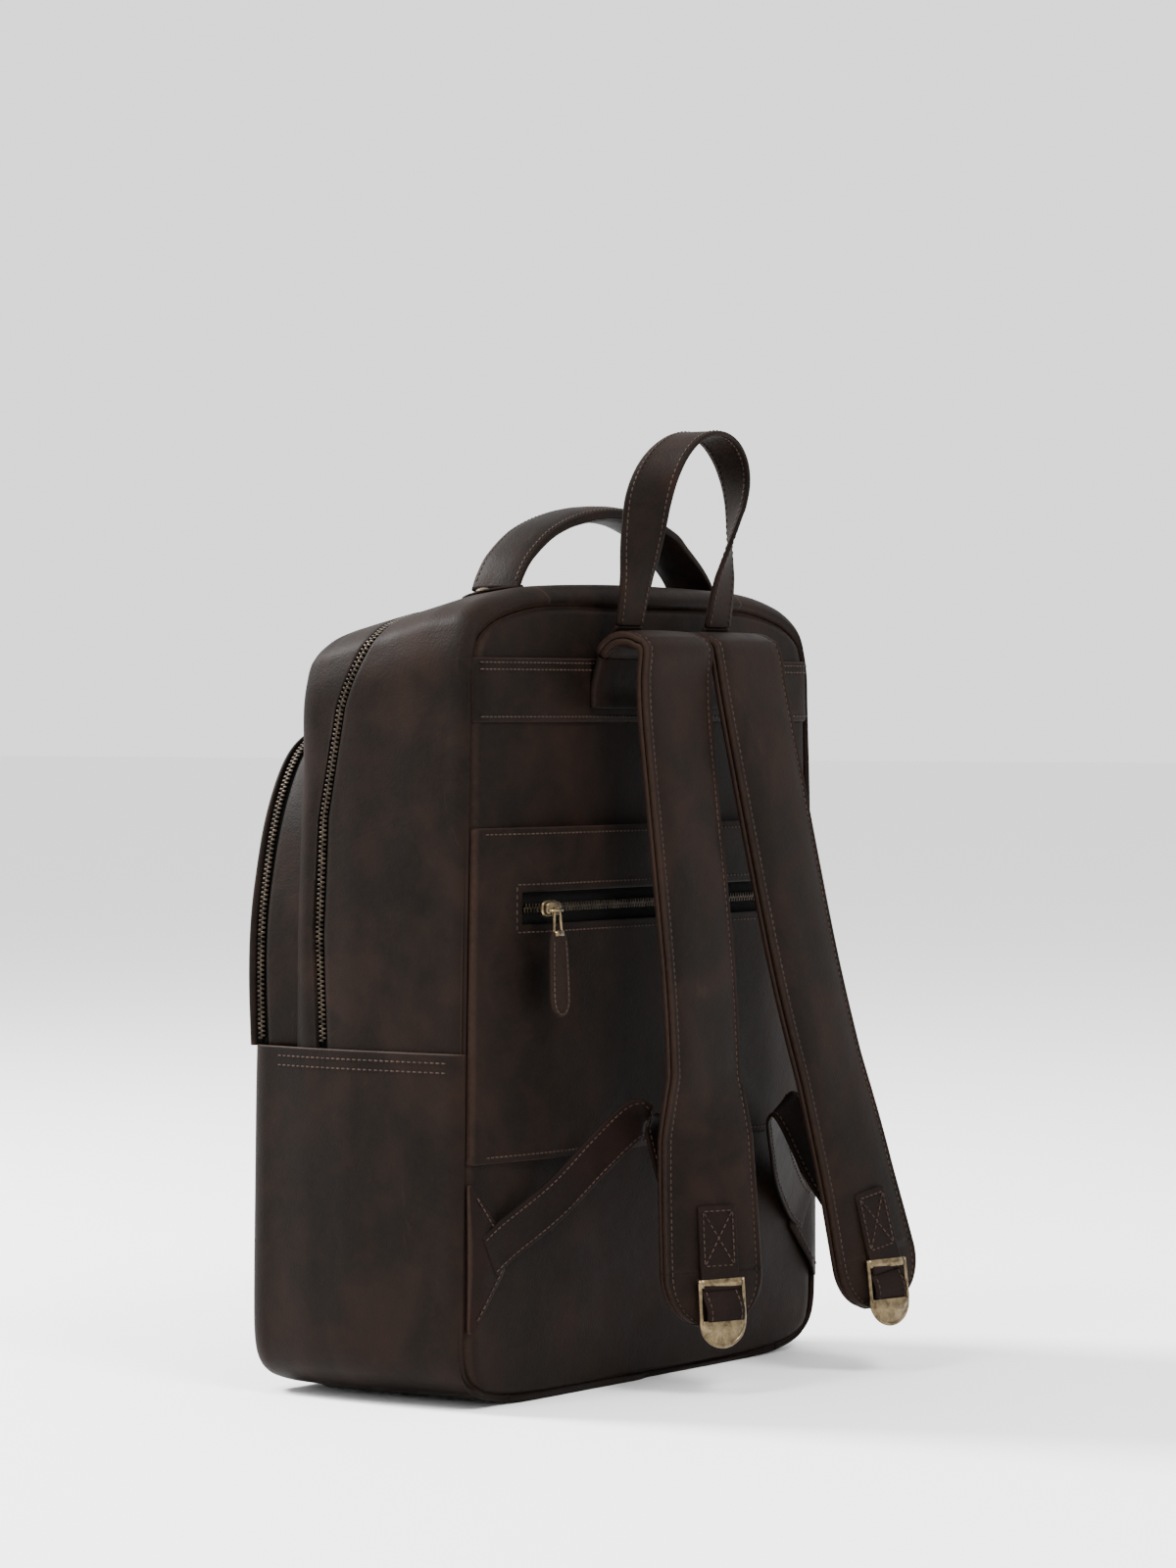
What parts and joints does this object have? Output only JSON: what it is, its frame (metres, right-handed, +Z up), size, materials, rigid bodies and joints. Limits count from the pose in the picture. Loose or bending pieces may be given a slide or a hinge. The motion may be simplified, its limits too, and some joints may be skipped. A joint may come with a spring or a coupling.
{
  "type": "leather backpack",
  "caption": "Zipped leather backpack with padded shoulder straps, grab handle, hanging loop, front pocket and a trolley sleeve with a back zip pocket.",
  "frame": {"origin": "centre of the base, on the surface the bag stands on", "axes": "+Z up, +Y towards the harness and the wearer's back, +X towards the wearer's right"},
  "size_m": [0.348, 0.2569, 0.515],
  "materials": {
    "leather": "dark brown waxed pull-up leather",
    "trim_leather": "dark brown leather, stitched edges",
    "lining": "plain woven lining",
    "foam": "closed-cell foam",
    "board": "fibre stiffener board",
    "zip_tape": "black woven tape with dark bronze teeth",
    "zip_teeth": "dark bronze",
    "brass": "antique brass"
  },
  "bodies": {
    "bag": {"back_foam": "foam", "back_lining": "lining", "back_panel_leather": "leather", "back_zip_chain": "zip_teeth", "back_zip_tape": "zip_tape", "base_board": "board", "base_panel": "leather", "corner_tab_left": "trim_leather", "corner_tab_right": "trim_leather", "gusset_left": "leather", "gusset_right": "leather", "gusset_top": "leather", "handle_end_left": "trim_leather", "handle_end_right": "trim_leather", "laptop_divider": "lining", "loop_foot_left": "trim_leather", "loop_foot_right": "trim_leather", "lower_front_panel": "leather", "lower_lining": "lining", "lower_side_left": "leather", "lower_side_right": "leather", "main_zip_rear": "zip_tape", "pocket_wall": "lining", "rivet_left": "brass", "rivet_right": "brass", "sleeve_backing": "lining", "sleeve_panel": "leather", "strap_root_left": "leather", "strap_root_right": "leather", "webbing_left": "trim_leather", "webbing_right": "trim_leather", "yoke_strip": "leather"},
    "lid": {"lid_shell": "leather", "lid_lining": "lining", "main_zip_front": "zip_tape", "pocket_gusset": "leather", "pocket_zip_rear": "zip_tape"},
    "pocket_flap": {"pocket_front_panel": "leather", "pocket_zip_front": "zip_tape"},
    "handle": {"handle_cover": "trim_leather", "handle_core": "foam"},
    "loop": {"hanging_loop": "trim_leather"},
    "back_slider": {"back_slider": "brass"},
    "back_pull": {"back_pull": "trim_leather"},
    "front_slider": {"front_slider": "brass"},
    "front_pull": {"front_pull": "trim_leather"},
    "main_right_slider": {"main_right_slider": "brass"},
    "main_right_pull": {"main_right_pull": "trim_leather"},
    "main_left_slider": {"main_left_slider": "brass"},
    "main_left_pull": {"main_left_pull": "trim_leather"},
    "strap_right": {"strap_face_right": "leather", "strap_foam_right": "foam", "strap_backing_right": "leather", "strap_tag_right": "trim_leather"},
    "buckle_right": {"buckle_right": "brass"},
    "strap_left": {"strap_face_left": "leather", "strap_foam_left": "foam", "strap_backing_left": "leather", "strap_tag_left": "trim_leather"},
    "buckle_left": {"buckle_left": "brass"}
  },
  "joints": [
    {"name": "lid_open", "type": "hinge", "parent": "bag", "child": "lid", "pos_m": [0, -0.07, 0.185], "axis": [1, 0, 0], "range_deg": [0, 60]},
    {"name": "pocket_open", "type": "hinge", "parent": "lid", "child": "pocket_flap", "pos_m": [0, -0.07, 0.185], "axis": [1, 0, 0], "range_deg": [0, 40]},
    {"name": "handle_swing", "type": "hinge", "parent": "bag", "child": "handle", "pos_m": [0, 0.04, 0.4479], "axis": [1, 0, 0], "range_deg": [-50, 25]},
    {"name": "loop_swing", "type": "hinge", "parent": "bag", "child": "loop", "pos_m": [0, 0.091, 0.411], "axis": [1, 0, 0], "range_deg": [-60, 25]},
    {"name": "strap_swing_right", "type": "hinge", "parent": "bag", "child": "strap_right", "pos_m": [0.033, 0.1, 0.386], "axis": [1, 0, 0], "range_deg": [-3, 30], "deforming": ["webbing_right", "strap_root_right"]},
    {"name": "strap_swing_left", "type": "hinge", "parent": "bag", "child": "strap_left", "pos_m": [-0.037, 0.1, 0.386], "axis": [1, 0, 0], "range_deg": [-3, 30], "deforming": ["webbing_left", "strap_root_left"]},
    {"name": "buckle_tilt_right", "type": "hinge", "parent": "strap_right", "child": "buckle_right", "pos_m": [0.04613, 0.15045, 0.0607], "axis": [0.9397, -0.342, 0], "range_deg": [0, 60]},
    {"name": "buckle_tilt_left", "type": "hinge", "parent": "strap_left", "child": "buckle_left", "pos_m": [-0.08686, 0.17355, 0.06114], "axis": [0.9744, -0.225, 0], "range_deg": [0, 60]},
    {"name": "back_zip_slide", "type": "slide", "parent": "bag", "child": "back_slider", "axis": [-1, 0, 0], "range_m": [0, 0.23]},
    {"name": "back_pull_swing", "type": "hinge", "parent": "back_slider", "child": "back_pull", "pos_m": [0.119, 0.09503, 0.2575], "axis": [1, 0, 0], "range_deg": [0, 95]},
    {"name": "main_zip_slide_right", "type": "slide", "parent": "lid", "child": "main_right_slider", "axis": [1, 0, 0], "range_m": [0, 0.055]},
    {"name": "main_zip_slide_left", "type": "slide", "parent": "lid", "child": "main_left_slider", "axis": [-1, 0, 0], "range_m": [0, 0.055]},
    {"name": "front_zip_slide", "type": "slide", "parent": "pocket_flap", "child": "front_slider", "axis": [0, 0, 1], "range_m": [-0.02, 0.035]},
    {"name": "main_pull_swing_right", "type": "hinge", "parent": "main_right_slider", "child": "main_right_pull", "pos_m": [0.017, 0.0026, 0.43032], "axis": [-1, 0, 0], "range_deg": [0, 80]},
    {"name": "main_pull_swing_left", "type": "hinge", "parent": "main_left_slider", "child": "main_left_pull", "pos_m": [-0.017, 0.0026, 0.43032], "axis": [-1, 0, 0], "range_deg": [0, 80]},
    {"name": "front_pull_swing", "type": "hinge", "parent": "front_slider", "child": "front_pull", "pos_m": [-0.17283, -0.0661, 0.219], "axis": [0, 1, 0], "range_deg": [0, 95]}
  ]
}
